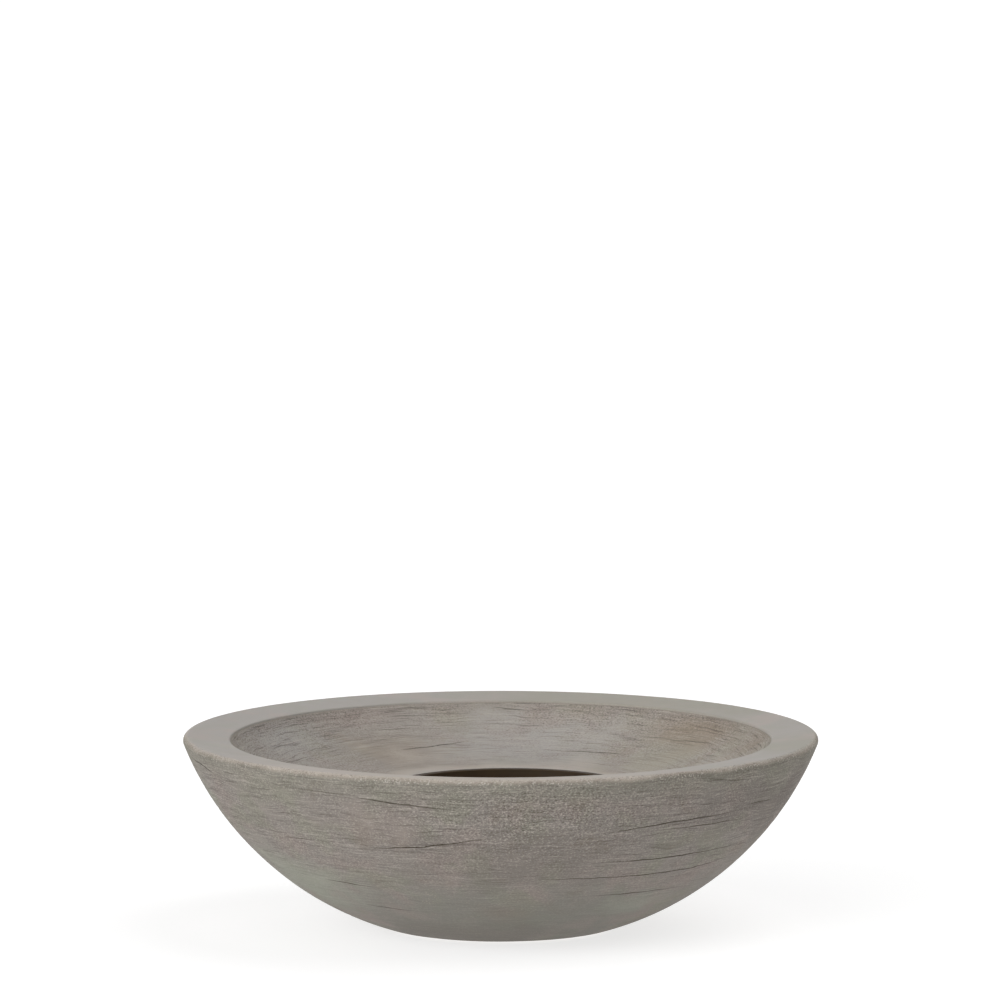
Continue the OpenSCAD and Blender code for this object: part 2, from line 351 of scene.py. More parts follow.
# shrinkage cracks: strength, then places of (degrees from the front, height or radius)
crackHabit = {
    "inSlot": (0.2, 0.8),  # where in its share of the way round an extra crack has its middle
    "levelStep": 0.618, "weakest": 0.35, "bow": 2, "fewestSteps": 6, "taper": 0.6,
    "wobble": 0.16, "ripple": 0.9, "fineRipple": 2.3, "fineShare": 0.6, "phases": 6.28,
}
wallCracks = {
    **crackHabit,
    "seen": [
        (0.95, [(20, 105.5), (34.5, 110.8), (50.5, 112.5)]),
        (0.75, [(33, 104.7), (43, 104.9), (58, 104.9)]),
        (0.95, [(21, 79.6), (39, 79.5), (61.5, 81)]),
        (1.0, [(9, 66.8), (33, 65.5), (48, 65.8), (61, 69.5)]),
        (0.75, [(22, 49.4), (37, 48.7), (52, 48.4)]),
        (0.75, [(54, 116.8), (64, 116)]),
        (0.5, [(40, 144), (49, 139)]),
        (0.9, [(-27.5, 134.3), (-21, 131.3), (-7, 126.5)]),
        (0.5, [(-40, 136.7), (-27, 135.4)]),
        (1.0, [(-27.5, 91), (-16, 94.5), (-1.5, 104)]),
        (0.75, [(-45.5, 57.2), (-31.5, 54.7)]),
        (0.75, [(-40, 36), (-25, 34)]),
        (0.6, [(-50, 92), (-39.5, 93.5)]),
        (0.4, [(-62.5, 132), (-56, 132.5)]),
    ],
    "extra": 22, "from": 72, "to": 292, "low": 32, "high": 140, "slant": 8,
    "shortest": 6, "longest": 30, "step": 0.6, "seed": 11,
}
dishCracks = {
    **crackHabit,
    "seen": [
        (0.9, [(209, 164.5), (200, 166.5), (189.5, 172)]),
        (0.5, [(252, 191.5), (239, 190.5)]),
        (0.6, [(181.5, 208.5), (174.5, 206)]),
    ],
    "extra": 13, "from": -135, "to": 165, "low": 128, "high": 204, "slant": 7,
    "shortest": 7, "longest": 24, "step": 0.8, "seed": 4,
}
bowlPoints, bellyAt = bowlOutline(bowl)
dishPoints, dishArcAt, dishArcRadius = dishOutline(dish)


def wallPlace(angle, height):
    a = math.radians(angle)
    r = bellyAt[0] + math.sqrt(bowl["bellyRadius"] ** 2 - (height - bellyAt[1]) ** 2)
    return r * math.sin(a), -r * math.cos(a), height


def dishPlace(angle, radius):
    a = math.radians(angle)
    z = dishArcAt[1] - math.sqrt(dishArcRadius ** 2 - (radius - dishArcAt[0]) ** 2)
    return radius * math.sin(a), -radius * math.cos(a), z


def crackPaths(name, c, place):
    # edges along each crack, with the bite of the crack tapering to nothing at its ends
    rng = random.Random(c["seed"])
    cracks = list(c["seen"])
    for i in range(c["extra"]):
        middle = c["from"] + (c["to"] - c["from"]) * (i + rng.uniform(*c["inSlot"])) / c["extra"]
        level = c["low"] + (c["high"] - c["low"]) * ((i * c["levelStep"]) % 1)
        half = rng.uniform(c["shortest"], c["longest"]) / 2
        lean = rng.uniform(-c["slant"], c["slant"]) / 2
        bow = rng.uniform(-c["bow"], c["bow"])
        cracks.append((rng.uniform(c["weakest"], 1), [
            (middle - half, level - lean), (middle, level + bow), (middle + half, level + lean)]))
    points, edges, bites = [], [], []
    for strength, path in cracks:
        phase = rng.uniform(0, c["phases"])
        count = max(c["fewestSteps"], round(abs(path[-1][0] - path[0][0]) / c["step"]))
        for i in range(count + 1):
            t = i / count
            leg = min(int(t * (len(path) - 1)), len(path) - 2)
            u = t * (len(path) - 1) - leg
            angle, level = (p + (q - p) * u for p, q in zip(path[leg], path[leg + 1]))
            level += c["wobble"] * (math.sin(angle * c["ripple"] + phase)
                                    + c["fineShare"] * math.sin(angle * c["fineRipple"] + 2 * phase))
            if i:
                edges.append((len(points) - 1, len(points)))
            points.append([v * mm for v in place(angle, level)])
            bites.append(strength * math.sin(math.pi * t) ** c["taper"])
    mesh = bpy.data.meshes.new(name)
    mesh.from_pydata(points, edges, [])
    mesh.attributes.new("bite", "FLOAT", "POINT").data.foreach_set("value", bites)
    return addObject(name, mesh)


bowlFace = {
    "Grain depth": 0.26, "Grain length": 38, "Grain pitch": 2.7, "Wander": 10,
    "Wave depth": 0.7, "Wave size": 70, "Crack depth": 0.4, "Crack width": 1.3, "Seed": 2.4,
}
dishFace = {**bowlFace, "Grain depth": 0.28, "Wave depth": 0.6, "Wave size": 60, "Seed": 7.9}
castMarks = {  # how the patterns of a cast face turn into depths
    "groove": {"From Min": 0.48, "From Max": 0.74, "To Min": 0.0, "To Max": -1.0},
    "patch": {"From Min": -0.12, "From Max": 0.12, "To Min": 0.45, "To Max": 1.0},
    "reach": {"From Min": 3 * mm, "From Max": 5.5 * mm, "To Min": 1.0, "To Max": 0.0},  # from a crack
}


def makeCastFace():
    # presses the grain, the waviness and the cracks of a casting into a turned surface
    tree, add, given = makeTree("castFace", {
        **dict.fromkeys(bowlFace, "Float"), "Cracks": "Object", "Material": "Material"})
    metres = add("GeometryNodeInputPosition")
    place = add("ShaderNodeVectorMath", {0: metres, "Scale": 1 / mm}, operation="SCALE")
    normal = add("GeometryNodeInputNormal")
    along, finish, bite = (
        add("GeometryNodeInputNamedAttribute", {"Name": attribute}, data_type="FLOAT")
        for attribute in ("along", "finish", "bite"))
    perWave, perLength, perPitch = (
        add("ShaderNodeMath", {0: 1.0, 1: given[size]}, operation="DIVIDE")
        for size in ("Wave size", "Grain length", "Grain pitch"))

    # slow waves of a hand-finished mould
    wave = add("ShaderNodeTexNoise", {
        "Vector": place, "W": given["Seed"], "Scale": perWave, "Detail": 1.0}, noise_dimensions="4D")
    wave = add("ShaderNodeMath", {0: wave, 1: 0.5}, operation="SUBTRACT")

    # long fine grain that follows the turning, and wanders a little
    scale = add("ShaderNodeCombineXYZ", {"X": perLength, "Y": perLength, "Z": perPitch})
    split = add("ShaderNodeSeparateXYZ", {"Vector": place}).node.outputs
    wandering = add("ShaderNodeMath", {0: wave, 1: given["Wander"], 2: along}, operation="MULTIPLY_ADD")
    unrolled = add("ShaderNodeCombineXYZ", {"X": split["X"], "Y": split["Y"], "Z": wandering})
    drawn = add("ShaderNodeVectorMath", {0: unrolled, 1: scale}, operation="MULTIPLY")
    grain = add("ShaderNodeTexNoise", {
        "Vector": drawn, "W": given["Seed"], "Scale": 1.0, "Detail": 3.0, "Roughness": 0.55},
        noise_dimensions="4D")
    grooves = add("ShaderNodeMapRange", {"Value": grain, **castMarks["groove"]}, **eased)
    patch = add("ShaderNodeMapRange", {"Value": wave, **castMarks["patch"]})
    depth = add("ShaderNodeMath", {0: patch, 1: given["Grain depth"]}, operation="MULTIPLY")
    waved = add("ShaderNodeMath", {0: wave, 1: given["Wave depth"]}, operation="MULTIPLY")
    height = add("ShaderNodeMath", {0: grooves, 1: depth, 2: waved}, operation="MULTIPLY_ADD")

    # distance across the nearest crack, and how deep that crack bites here
    cracks = add("GeometryNodeObjectInfo", {
        "Object": given["Cracks"]}, transform_space="RELATIVE").node.outputs["Geometry"]
    near = add("GeometryNodeProximity", {"Geometry": cracks}, target_element="EDGES").node.outputs
    nearest = add("ShaderNodeVectorMath", {0: near["Position"], "Scale": 1 / mm}, operation="SCALE")
    away = add("ShaderNodeVectorMath", {0: place, 1: nearest}, operation="SUBTRACT")
    around = add("ShaderNodeVectorMath", {0: (0, 0, 1), 1: metres}, operation="CROSS_PRODUCT")
    around = add("ShaderNodeVectorMath", {0: around}, operation="NORMALIZE")
    upwards = add("ShaderNodeVectorMath", {0: normal, 1: around}, operation="CROSS_PRODUCT")
    across = add("ShaderNodeVectorMath", {0: away, 1: upwards}, operation="DOT_PRODUCT")
    acrossSize = add("ShaderNodeMath", {0: across}, operation="ABSOLUTE")
    index = add("GeometryNodeSampleNearest", {"Geometry": cracks}, domain="POINT")
    bite = add("GeometryNodeSampleIndex", {
        "Geometry": cracks, "Value": bite, "Index": index}, data_type="FLOAT", domain="POINT")
    reach = add("ShaderNodeMapRange", {"Value": near["Distance"], **castMarks["reach"]})
    bite = add("ShaderNodeMath", {0: bite, 1: reach}, operation="MULTIPLY")
    groove = add("ShaderNodeMapRange", {
        "Value": acrossSize, "From Min": 0.0, "To Max": 0.0, "From Max": given["Crack width"],
        "To Min": given["Crack depth"]}, **eased)
    bitten = add("ShaderNodeMath", {0: groove, 1: bite}, operation="MULTIPLY")
    height = add("ShaderNodeMath", {0: height, 1: bitten}, operation="SUBTRACT")

    geometry = given["Geometry"]
    for name, value in (("crackAcross", across), ("crackBite", bite)):
        geometry = add("GeometryNodeStoreNamedAttribute", {
            "Geometry": geometry, "Name": name, "Value": value}, data_type="FLOAT", domain="POINT")
    for share in (finish, mm):
        height = add("ShaderNodeMath", {0: height, 1: share}, operation="MULTIPLY")
    offset = add("ShaderNodeVectorMath", {0: normal, "Scale": height}, operation="SCALE")
    pressed = add("GeometryNodeSetPosition", {"Geometry": geometry, "Offset": offset})
    endTree(add, pressed, given["Material"])
    return tree


castFace = makeCastFace()
castSharp, mouldedSharp = 55, 40  # degrees between two faces, from which their edge stays sharp


def bake(piece, sharpFrom=mouldedSharp):
    # the evaluated modifiers become the piece's own plain mesh
    evaluated = piece.evaluated_get(bpy.context.evaluated_depsgraph_get())
    mesh = bpy.data.meshes.new_from_object(evaluated)
    mesh.name = piece.name
    piece.modifiers.clear()
    piece.data = mesh
    mesh.shade_smooth()
    mesh.set_sharp_from_angle(angle=math.radians(sharpFrom))


def turned(name, points, material, segments, shift=0):
    piece = addObject(name, profileMesh(name, points, pivot))
    applyTree(piece, lathe, {"Segments": segments, "Pivot": pivot * mm, "Shift": shift * mm,
                             "Material": material})
    return piece


def cast(name, points, d, face, cracks, material):
    piece = turned(name, points, material, d["segments"], d.get("shift", 0))
    applyTree(piece, castFace, dict(face, Cracks=cracks, Material=material))
    bake(piece, castSharp)
    bpy.data.objects.remove(cracks)
    return piece


def newMaterial(name):
    material = bpy.data.materials.new(name)
    material.use_nodes = True
    material.node_tree.nodes.clear()
    return material, partial(addNode, material.node_tree)


def placeInMm(add):
    # the place on the piece, in millimetres
    place = add("ShaderNodeTexCoord").node.outputs["Object"]
    return add("ShaderNodeVectorMath", {0: place, "Scale": 1 / mm}, operation="SCALE")


def endMaterial(add, surface, height, depth):
    # the shader, with a height pattern that bumps it by up to depth
    bump = add("ShaderNodeBump", {"Height": height, "Distance": depth * mm, "Strength": 1.0})
    shader = add("ShaderNodeBsdfPrincipled", {**surface, "Normal": bump})
    add("ShaderNodeOutputMaterial", {"Surface": shader})


# glass-fibre concrete, cast and brushed: a dull sandy grey with pits, pale grit, dark drawn grain
# and faint stains, and no gloss; where it is trowelled it is paler and even
# a placed tint (a stain, painted shade, painted light) is a tint, its place (degrees from the front,
# height or radius), its width and height, its share
wallFinish = {
    "ground": "#7f7973", "warm": "#827872", "olive": "#7b796d", "brown": "#746b61",
    "pale": "#898b7f", "dark": "#67605a", "mossy": "#6d6e66",
    "trowelled": "#aca7a2", "trowelledWarm": "#b1a7a0", "trowelledOlive": "#a9a69d",
    # the rim tint #a19d90 is painted shade for the far rim and its right end; worn is pale wear, and on
    # the rim's crest also a painted highlight
    "worn": "#c9bcae", "chip": "#cfc8be", "rimShade": "#a19d90",
    "grit": "#c4bcb2", "pit": "#4d463f", "crack": "#332b1e",
    "roughness": 0.88, "trowelledRoughness": 0.72, "bump": 0.35, "seed": 3.3,
    "sandSize": 1.2, "sandStretch": 1.25, "pitSize": 3.2, "dashLength": 26, "dashWidth": 1.0,
    "grit amount": 0.52, "pit amount": 0.9, "dash amount": 0.52, "streak amount": 0.2,
    "holed amount": 0.5, "broken amount": 0.6, "worn amount": 0.38,
    "fadeLow": 32, "fadeHigh": 92, "fadeLeast": 0.3,  # the marks fade towards the foot
    "bandWander": 24, "dashWander": 12, "edgeWander": 0.8, "patchWander": 2.5,  # along the slow stains
    "edgeRagged": 0.7, "crackRagged": 0.9,  # along the sand
    "dashDent": -0.9, "holeDent": -1.2, "crackDent": -0.8, "ior": 1.5, "specular": 0.35,
    "bandTint": "olive", "bandLow": 126, "bandHigh": 146, "band amount": 0.55,
    "sandy": ((5, 122), 210, 70, 0.55, 1),  # a patch, then the share of grain outside and inside it
    "sandyLeast": 0.75,  # the least share of grain, between the slow stains
    "patchEdge": 1.3, "patchCore": 0.2,  # of half its size, where a patch starts and where it is full
    "stainSize": 46, "stain amount": 0.7,
    "stainsAndPaintedLight": [
        # the tint at (4, 24) and dark at (-10, 10): darker and greener towards the front foot
        ("mossy", (4, 24), 360, 80, 0.6), ("dark", (-10, 10), 190, 40, 0.5),
        # dark at (72, 110) is painted shade on the right flank, where the light falls off; pale at (-56,
        # 50) is painted light on the lower left
        ("dark", (72, 110), 76, 84, 0.7), ("pale", (-56, 50), 120, 62, 0.7),
        ("olive", (-49, 132), 75, 26, 0.6), ("warm", (-24, 112), 80, 40, 0.6),
        # dark at (54, 118): painted shade on the right side
        ("dark", (54, 118), 110, 46, 0.5), ("brown", (1, 36), 50, 22, 0.45),
        # dark at (4, 84): painted shade on the lower front, where the wall turns down
        ("pale", (42, 38), 75, 32, 0.5), ("dark", (4, 84), 190, 60, 0.45),
        # pale at (-80, 110): painted light on the left flank, the lamps' side
        ("olive", (14, 140), 46, 16, 0.5), ("pale", (-80, 110), 70, 70, 0.4),
        # pit at (52, 147): a painted shade line under the rim's rounding on the right side, not pits
        ("pit", (52, 147), 250, 8, 0.45),
    ],
    "rimShadeAndWear": [
        # the two rim tints at (154, 150) and (80, 150): painted shade on the far rim and at its right end,
        # a little yellower; worn at the front: paler wear
        ("rimShade", (154, 150), 370, 200, 0.65), ("rimShade", (80, 150), 130, 200, 0.6),
        ("worn", (-12, 150), 420, 120, 0.4),
    ],
}
dishFinish = {
    **wallFinish,
    "ground": "#a49e97", "warm": "#a2968f", "olive": "#9f9b8b", "brown": "#948778",
    "pale": "#aeaba8", "dark": "#8a8179", "seed": 9.1,
    "sandSize": 1.4, "sandStretch": 1.15, "dashLength": 30, "dashWidth": 1.1,
    "grit amount": 0.46, "pit amount": 0.66, "dash amount": 0.56, "streak amount": 0.38,
    "holed amount": 0.3, "broken amount": 0.1, "fadeLow": 0, "fadeHigh": 1,
    # the dish's band: painted shade just under the rim's lip
    "bandTint": "dark", "bandLow": 138, "bandHigh": 147, "band amount": 0.4,
    "sandy": ((187, 168), 250, 110, 0.95, 0.42),
    "stainSize": 54, "stain amount": 0.45,
    "stainsAndPaintedLight": [
        ("pale", (243, 198), 110, 44, 0.55), ("dark", (212, 132), 90, 50, 0.6),
        ("brown", (128, 200), 120, 34, 0.85), ("pale", (172, 156), 160, 60, 0.6),
        ("warm", (215, 206), 90, 20, 0.7), ("olive", (162, 208), 60, 14, 0.6),
        ("brown", (100, 204), 60, 30, 0.6), ("brown", (290, 196), 90, 30, 0.5),
        ("brown", (212, 172), 90, 26, 0.3), ("olive", (128, 160), 90, 30, 0.6),
    ],
    "rimShadeAndWear": [],
}
# the values of a noise or a distance at which each mark starts, and at which it is full
marks = {name: {"From Min": start, "From Max": full} for name, start, full in (
    ("warm", 0.48, 0.62), ("olive", 0.5, 0.64), ("brown", 0.54, 0.72), ("sandy", 0.42, 0.58),
    ("grit", 0.53, 0.66), ("pit", 0.47, 0.33), ("holed", 0.62, 0.95), ("hole", 0.3, 0.16),
    ("dash", 0.54, 0.72), ("streak", 0.46, 0.3), ("trowelled", 1.1, 0.88), ("worn", 0.26, 0.06),
    ("broken", 0.38, 0.12), ("chip", 0.53, 0.64), ("chipped", 0.45, 0.34), ("crack", 0.74, 0.2),
    ("dust", 0.45, 0.75), ("film", 0.3, 0.7))}


def concrete(name, look, placeOf):
    material, add = newMaterial(name)
    place = placeInMm(add)
    split = add("ShaderNodeSeparateXYZ", {"Vector": place}).node.outputs
    along, finish, across, bite = (
        add("ShaderNodeAttribute", attribute_name=attribute).node.outputs["Fac"]
        for attribute in ("along", "finish", "crackAcross", "crackBite"))
    layers, smoothLayers = [], []  # (share, tint), laid in turn over the cast and the trowelled ground
    seed = look["seed"]

    def lay(tint, mark, pattern, *within, **settings):
        # lays a tint where a pattern shows a mark, within the shares that are given
        share = add("ShaderNodeMapRange", {
            "Value": pattern, **marks[mark], "To Max": look.get(mark + " amount", 1.0)}, **settings)
        for other in within:
            share = add("ShaderNodeMath", {0: share, 1: other}, operation="MULTIPLY")
        layers.append((share, tint))
        return share

    def drawnNoise(height, length, width, detail):
        # a noise that follows the turning, with marks of a length and a width
        unrolled = add("ShaderNodeCombineXYZ", {"X": split["X"], "Y": split["Y"], "Z": height})
        drawn = add("ShaderNodeVectorMath", {
            0: unrolled, 1: (1 / length, 1 / length, 1 / width)}, operation="MULTIPLY")
        return add("ShaderNodeTexNoise", {
            "Vector": drawn, "W": seed, "Scale": 1.0, **detail}, noise_dimensions="4D")

    sand = drawnNoise(along, look["sandSize"] * look["sandStretch"], look["sandSize"],
                      {"Detail": 2.0, "Roughness": 0.6})

    # slow stains: three patterns, each laying one tint on the cast and one on the trowelled faces
    slow = None
    for i, (tint, smoothTint, size) in enumerate((
            ("warm", "trowelledWarm", 1.0), ("olive", "trowelledOlive", 0.8),
            ("brown", "trowelled", 0.6))):
        stain = add("ShaderNodeTexNoise", {
            "Vector": place, "W": seed + i, "Detail": 4.0, "Roughness": 0.6,
            "Scale": 1 / (look["stainSize"] * size)}, noise_dimensions="4D")
        slow = slow or stain
        share = add("ShaderNodeMapRange", {
            "Value": stain, **marks[tint], "To Max": look["stain amount"]}, **eased)
        layers.append((share, tint))
        smoothLayers.append((share, smoothTint))

    def patchAt(where, width, height, low, high):
        # runs from low to high towards a place on the piece, with a wandering edge
        shrink = Vector((2 / width, 2 / width, 2 / height))
        offset = add("ShaderNodeVectorMath", {
            0: place, 1: shrink, 2: -Vector(placeOf(*where)) * shrink}, operation="MULTIPLY_ADD")
        away = add("ShaderNodeVectorMath", {0: offset}, operation="LENGTH").node.outputs["Value"]
        away = add("ShaderNodeMath", {0: slow, 1: look["patchWander"], 2: away}, operation="MULTIPLY_ADD")
        middle = look["patchWander"] / 2
        return add("ShaderNodeMapRange", {
            "Value": away, "From Min": middle + look["patchEdge"], "To Min": low,
            "From Max": middle + look["patchCore"], "To Max": high}, **eased)

    # placed tints, each with a place of its own: stains, painted shade and painted light
    for stainsAndPaintedLight, laid in ((look["stainsAndPaintedLight"], layers), (look["rimShadeAndWear"], smoothLayers)):
        for tint, where, width, height, amount in stainsAndPaintedLight:
            laid.append((patchAt(where, width, height, 0, amount), tint))

    # a band along the top edge: an olive tone on the wall, and painted shade under the rim's lip on the
    # dish
    wandering = add("ShaderNodeMath", {
        0: slow, 1: look["bandWander"], 2: split["Z"]}, operation="MULTIPLY_ADD")
    middle = look["bandWander"] / 2
    band = add("ShaderNodeMapRange", {
        "Value": wandering, "From Min": look["bandLow"] + middle, "From Max": look["bandHigh"] + middle,
        "To Max": look["band amount"]}, **eased)
    layers.append((band, look["bandTint"]))

    # grit and pits
    fade = add("ShaderNodeMapRange", {
        "Value": split["Z"], "From Min": look["fadeLow"], "From Max": look["fadeHigh"],
        "To Min": look["fadeLeast"]})
    fade = add("ShaderNodeMath", {0: fade, 1: finish}, operation="MULTIPLY")
    sandy = add("ShaderNodeMapRange", {"Value": slow, **marks["sandy"], "To Min": look["sandyLeast"]})
    for share in (patchAt(*look["sandy"]), fade):
        sandy = add("ShaderNodeMath", {0: sandy, 1: share}, operation="MULTIPLY")
    for tint in ("grit", "pit"):
        lay(tint, tint, sand, sandy)

    # small round blowholes, one in every few cells
    cells = add("ShaderNodeTexVoronoi", {"Vector": place, "Scale": 1 / look["pitSize"]}).node.outputs
    holed = add("ShaderNodeSeparateColor", {"Color": cells["Color"]}).node.outputs["Red"]
    holed = add("ShaderNodeMapRange", {"Value": holed, **marks["holed"], "To Max": look["holed amount"]})
    hole = lay("pit", "hole", cells["Distance"], holed, sandy)

    # dark and pale dashes, drawn along the turning
    wandering = add("ShaderNodeMath", {0: slow, 1: look["dashWander"], 2: along}, operation="MULTIPLY_ADD")
    dashes = drawnNoise(wandering, look["dashLength"], look["dashWidth"], {"Detail": 2.0})
    dash = lay("pit", "dash", dashes, fade, **eased)
    lay("grit", "streak", dashes, fade, **eased)

    # trowelled faces, with a ragged edge between them and the cast ones, pale with wear, and on the rim's
    # rounding a painted highlight along its crest
    ragged = add("ShaderNodeMath", {0: sand, 1: -0.5}, operation="ADD")
    raggedFinish = add("ShaderNodeMath", {
        0: ragged, 1: look["edgeRagged"], 2: finish}, operation="MULTIPLY_ADD")
    raggedFinish = add("ShaderNodeMath", {
        0: slow, 1: look["edgeWander"], 2: raggedFinish}, operation="MULTIPLY_ADD")
    smooth = lay("trowelled", "trowelled", raggedFinish)
    away = []
    for run, edge in ((raggedFinish, paleEdge + look["edgeWander"] / 2), (finish, paleEdge)):
        off = add("ShaderNodeMath", {0: run, 1: -edge}, operation="ADD")
        away.append(add("ShaderNodeMath", {0: off}, operation="ABSOLUTE"))
    # worn: pale wear along the edge, and on the rim's crest a painted highlight
    lay("worn", "worn", away[0])
    broken = add("ShaderNodeMapRange", {
        "Value": away[1], **marks["broken"], "To Max": look["broken amount"]})
    lay("chip", "chip", sand, broken)
    lay("pit", "chipped", sand, broken)

    # cracks: a thin broken dark line
    line = add("ShaderNodeMath", {0: ragged, 1: look["crackRagged"], 2: across}, operation="MULTIPLY_ADD")
    line = add("ShaderNodeMath", {0: line}, operation="ABSOLUTE")
    crack = lay("crack", "crack", line, bite)

    smoothColour, colour = linear(look["trowelled"]), linear(look["ground"])
    for share, tint in smoothLayers:
        smoothColour = add("ShaderNodeMix", {
            "Factor": share, "A": smoothColour, "B": linear(look[tint])}, data_type="RGBA")
    for share, tint in layers:
        over = smoothColour if tint == "trowelled" else linear(look[tint])
        colour = add("ShaderNodeMix", {"Factor": share, "A": colour, "B": over}, data_type="RGBA")
    roughness = add("ShaderNodeMapRange", {
        "Value": smooth, "To Min": look["roughness"], "To Max": look["trowelledRoughness"]})
    height = add("ShaderNodeMath", {0: sand, 1: sandy}, operation="MULTIPLY")
    for dent, depth in ((dash, look["dashDent"]), (hole, look["holeDent"]), (crack, look["crackDent"])):
        height = add("ShaderNodeMath", {0: dent, 1: depth, 2: height}, operation="MULTIPLY_ADD")
    endMaterial(add, {"Base Color": colour, "Roughness": roughness, "IOR": look["ior"],
                      "Specular IOR Level": look["specular"]}, height, look["bump"])
    return material


# hard plastics and rubber, moulded: even and dark, with a fine spark texture that softens the gloss
# the texture is drawn coarser than the real 0.2 mm so that it shows
mouldedFinish = {"ior": 1.49, "specular": 0.5, "grain": 0.8, "bump": 0.05, "dusty": 0.4,
                 "filmSize": 18, "cleaner": 0.08, "duller": 0.15}
linerFinish = {**mouldedFinish, "ground": "#3d3020", "dust": "#54452e", "roughness": 0.62,
               "specular": 0.25, "dusty": 0.3}
sleeveFinish = {**mouldedFinish, "ground": "#5b5955", "dust": "#8a847a", "roughness": 0.45, "bump": 0.04}
plugFinish = {**mouldedFinish, "ground": "#232220", "dust": "#57524a", "roughness": 0.62,
              "ior": 1.52, "grain": 0.6}
padFinish = {**plugFinish, "ground": "#3b3a38", "dust": "#6d675e", "roughness": 0.7,
             "bump": 0.06, "dusty": 0.5}


def moulded(name, look):
    material, add = newMaterial(name)
    place = placeInMm(add)
    spark = add("ShaderNodeTexNoise", {"Vector": place, "Scale": 1 / look["grain"], "Detail": 2.0})
    film = add("ShaderNodeTexNoise", {
        "Vector": place, "Scale": 1 / look["filmSize"], "Detail": 4.0, "Roughness": 0.6})
    dust = add("ShaderNodeMapRange", {"Value": film, **marks["dust"], "To Max": look["dusty"]})
    colour = add("ShaderNodeMix", {
        "Factor": dust, "A": linear(look["ground"]), "B": linear(look["dust"])}, data_type="RGBA")
    roughness = add("ShaderNodeMapRange", {
        "Value": film, **marks["film"], "To Min": look["roughness"] - look["cleaner"],
        "To Max": look["roughness"] + look["duller"]})
    endMaterial(add, {"Base Color": colour, "Roughness": roughness, "IOR": look["ior"],
                      "Specular IOR Level": look["specular"]}, spark, look["bump"])
    return material


# cement mortar, struck with a wet finger: close to the concrete's own colour, with sand in it
mortarFinish = {"ground": "#a8a298", "dark": "#857d72", "grain": 1.1, "roughness": 0.92, "bump": 0.2}


def mortar(name, look):
    material, add = newMaterial(name)
    place = placeInMm(add)
    sand = add("ShaderNodeTexNoise", {"Vector": place, "Scale": 1 / look["grain"], "Detail": 3.0})
    colour = add("ShaderNodeMix", {
        "Factor": sand, "A": linear(look["dark"]), "B": linear(look["ground"])}, data_type="RGBA")
    endMaterial(add, {"Base Color": colour, "Roughness": look["roughness"]}, sand, look["bump"])
    return material


wallConcrete = concrete("cast_fibre_concrete", wallFinish, wallPlace)
dishConcrete = concrete("cast_fibre_concrete_dish", dishFinish, dishPlace)
linerPlastic = moulded("moulded_polypropylene_brown", linerFinish)
sleevePlastic = moulded("moulded_polypropylene_grey", sleeveFinish)
plugRubber = moulded("moulded_rubber_black", plugFinish)
padRubber = moulded("moulded_rubber_grey", padFinish)
jointMortar = mortar("struck_mortar", mortarFinish)
print("stage: materials made")

drillSides = 64


def makeDrill():
    # bores a ring of round holes in a floor
    tree, add, given = makeTree("holes", {
        "Holes": "Int", "Ring radius": "Float", "Hole radius": "Float", "Depth": "Float",
        "Floor": "Float", "Material": "Material"})
    ring = add("GeometryNodeMeshCircle", {"Vertices": given["Holes"], "Radius": given["Ring radius"]})
    drill = add("GeometryNodeMeshCylinder", {
        "Vertices": drillSides, "Radius": given["Hole radius"], "Depth": given["Depth"]})
    drills = add("GeometryNodeInstanceOnPoints", {"Points": ring, "Instance": drill})
    drills = add("GeometryNodeRealizeInstances", {"Geometry": drills})
    place = add("ShaderNodeCombineXYZ", {"Z": given["Floor"]})
    drills = add("GeometryNodeTransform", {"Geometry": drills, "Translation": place})
    bored = add("GeometryNodeMeshBoolean", {
        "Mesh 1": given["Geometry"], "Mesh 2": drills}, operation="DIFFERENCE")
    endTree(add, bored, given["Material"])
    return tree


drill = makeDrill()
pad = {"count": 3, "radius": 9, "height": 3, "ring": 74, "edge": 0.6, "segments": 64}

castBowl = cast("cast_bowl", bowlPoints, bowl, bowlFace,
                crackPaths("wall_cracks", wallCracks, wallPlace), wallConcrete)
applyTree(castBowl, drill, {  # the seats of the pads
    "Holes": pad["count"], "Ring radius": pad["ring"] * mm, "Hole radius": pad["radius"] * mm,
    "Depth": 2 * pad["height"] * mm, "Floor": 0.0, "Material": wallConcrete})
bake(castBowl, castSharp)
castDish = cast("cast_dish", dishPoints, dish, dishFace,
                crackPaths("dish_cracks", dishCracks, dishPlace), dishConcrete)
print("stage: castings made")

liner = {
    "low": linerLow.z, "top": linerHigh.z, "shift": dish["shift"],
    "flangeRadius": linerHigh.x - dish["shift"], "flangeThick": 3, "gap": 0.4,
    "wall": 2.5, "floor": 3, "taper": 12, "segments": 160,
    "holeRadius": 5, "holes": 6, "inset": 28, "drillDepth": 12, "holeRound": 0.6,
    "heelRound": 4, "insideRound": 5, "neckRound": 0.3, "flangeRound": 0.5, "topRound": 0.8,
    "mouthRound": 0.9,
    "gripWidth": 30, "gripReach": 8, "gripThick": 4, "gripDrop": 6, "gripRound": 1.1,
}


def linerRadius(z):
    # outer face of the tapered wall at height z
    top = dish["opening"] - dish["rebateWidth"] - liner["gap"]
    return top - (liner["top"] - liner["flangeThick"] - z) * math.tan(math.radians(liner["taper"]))


